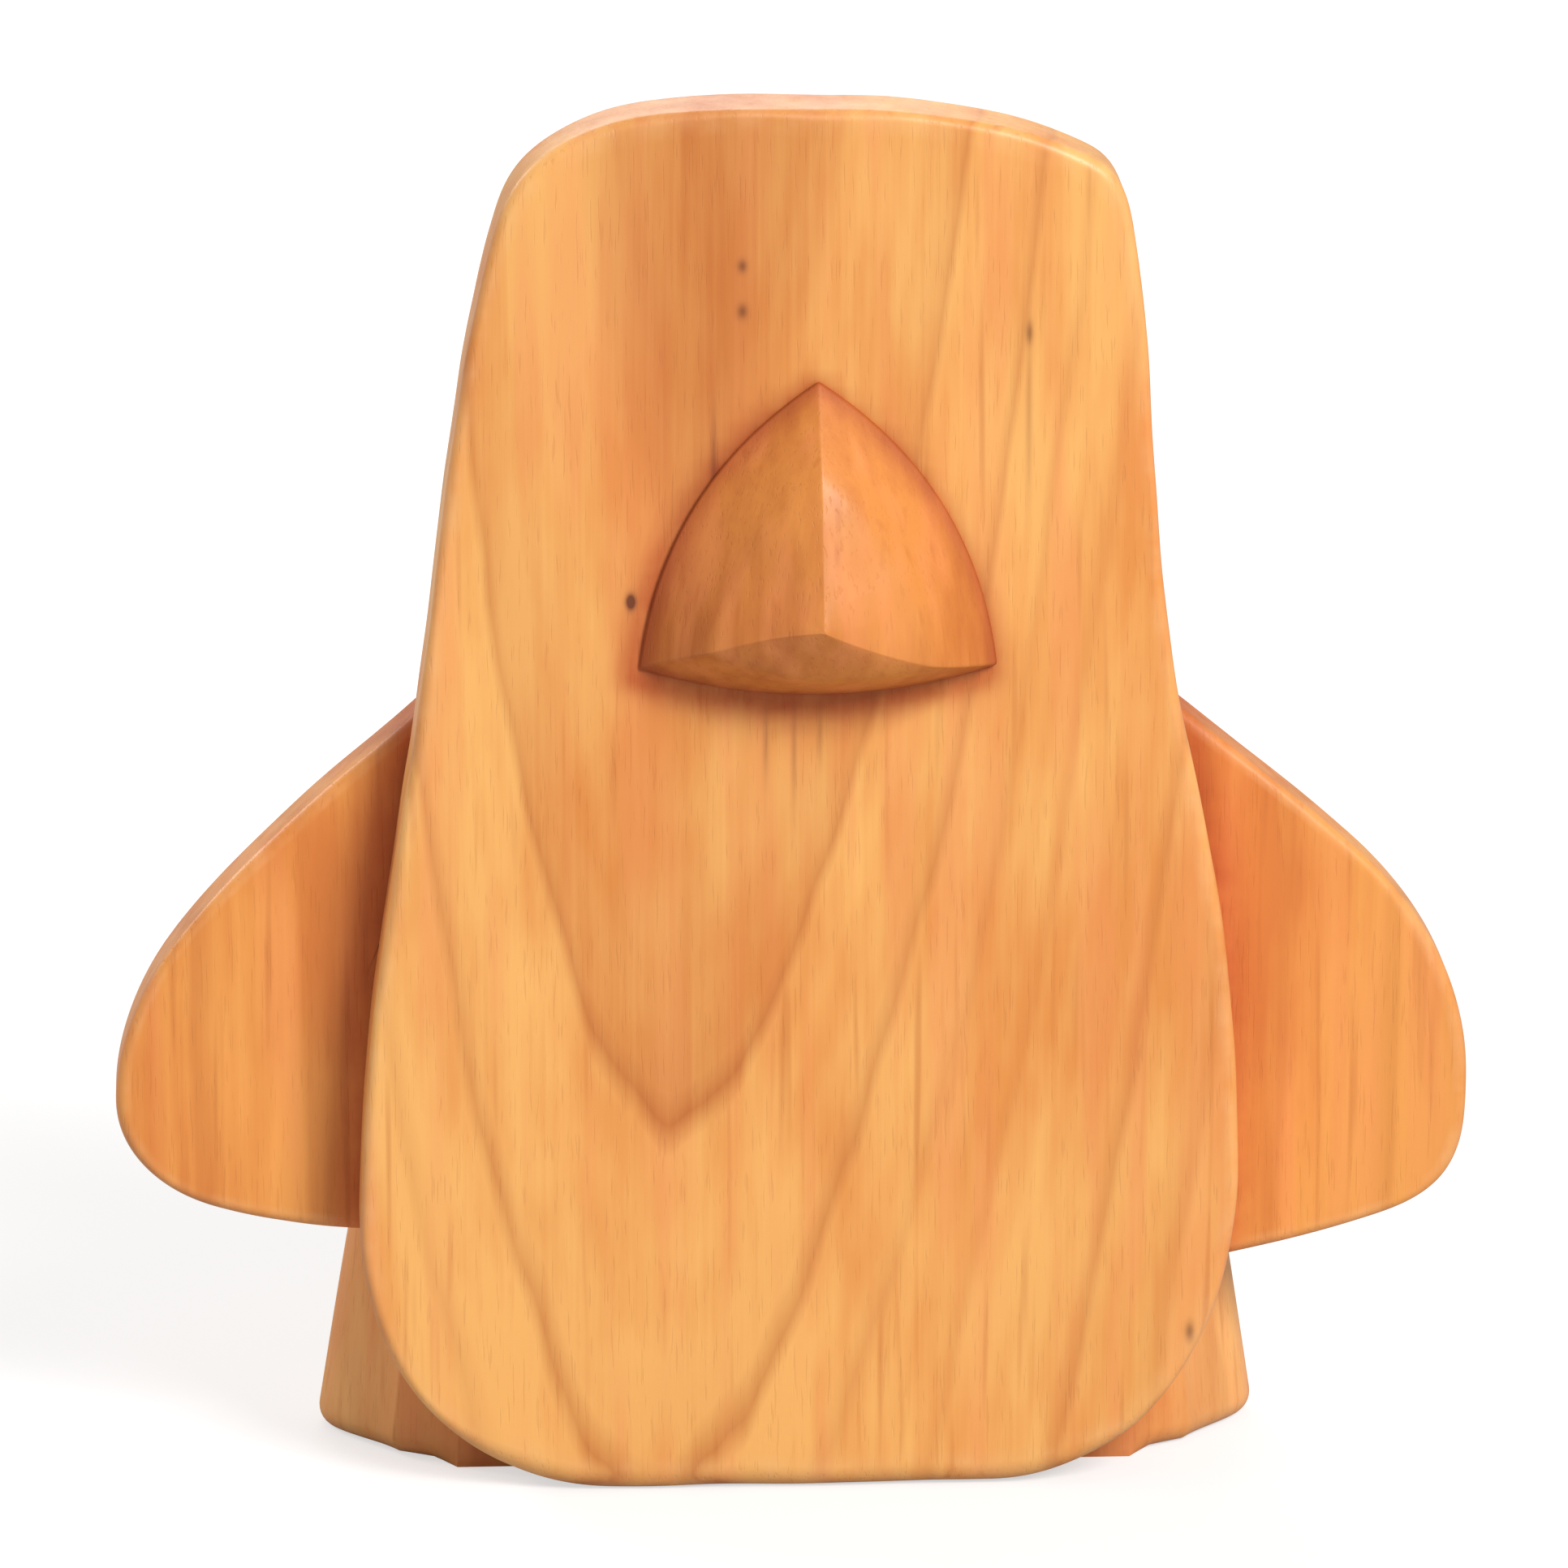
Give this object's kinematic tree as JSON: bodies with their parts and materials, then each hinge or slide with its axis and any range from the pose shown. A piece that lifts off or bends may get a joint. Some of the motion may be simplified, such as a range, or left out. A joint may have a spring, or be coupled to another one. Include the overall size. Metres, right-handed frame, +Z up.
{
  "type": "carved wooden doll",
  "caption": "Standing carved wooden doll: a tall face board with a three-sided nose, two fin-shaped arms and a wedge-shaped body behind, glued and dowelled together.",
  "frame": {"origin": "on the ground, under the middle of the doll's overall box", "axes": "the doll faces -Y, +Z is up and +X is to the right of someone looking at its face"},
  "size_m": [0.1446, 0.0556, 0.15],
  "materials": {
    "board_wood": "oiled satin, upright grain",
    "nose_wood": "oiled satin, knife cut",
    "body_wood": "oiled satin, upright grain",
    "arm_wood": "oiled satin, upright grain",
    "dowel_wood": "plain turned beech"
  },
  "bodies": {
    "root": {"face_board": "board_wood", "nose": "nose_wood", "body_block": "body_wood", "left_arm": "arm_wood", "right_arm": "arm_wood", "nose_dowel": "dowel_wood", "face_dowel_top": "dowel_wood", "face_dowel_left": "dowel_wood", "face_dowel_right": "dowel_wood", "left_arm_dowel_lower": "dowel_wood", "left_arm_dowel_upper": "dowel_wood", "right_arm_dowel_lower": "dowel_wood", "right_arm_dowel_upper": "dowel_wood"}
  },
  "joints": []
}
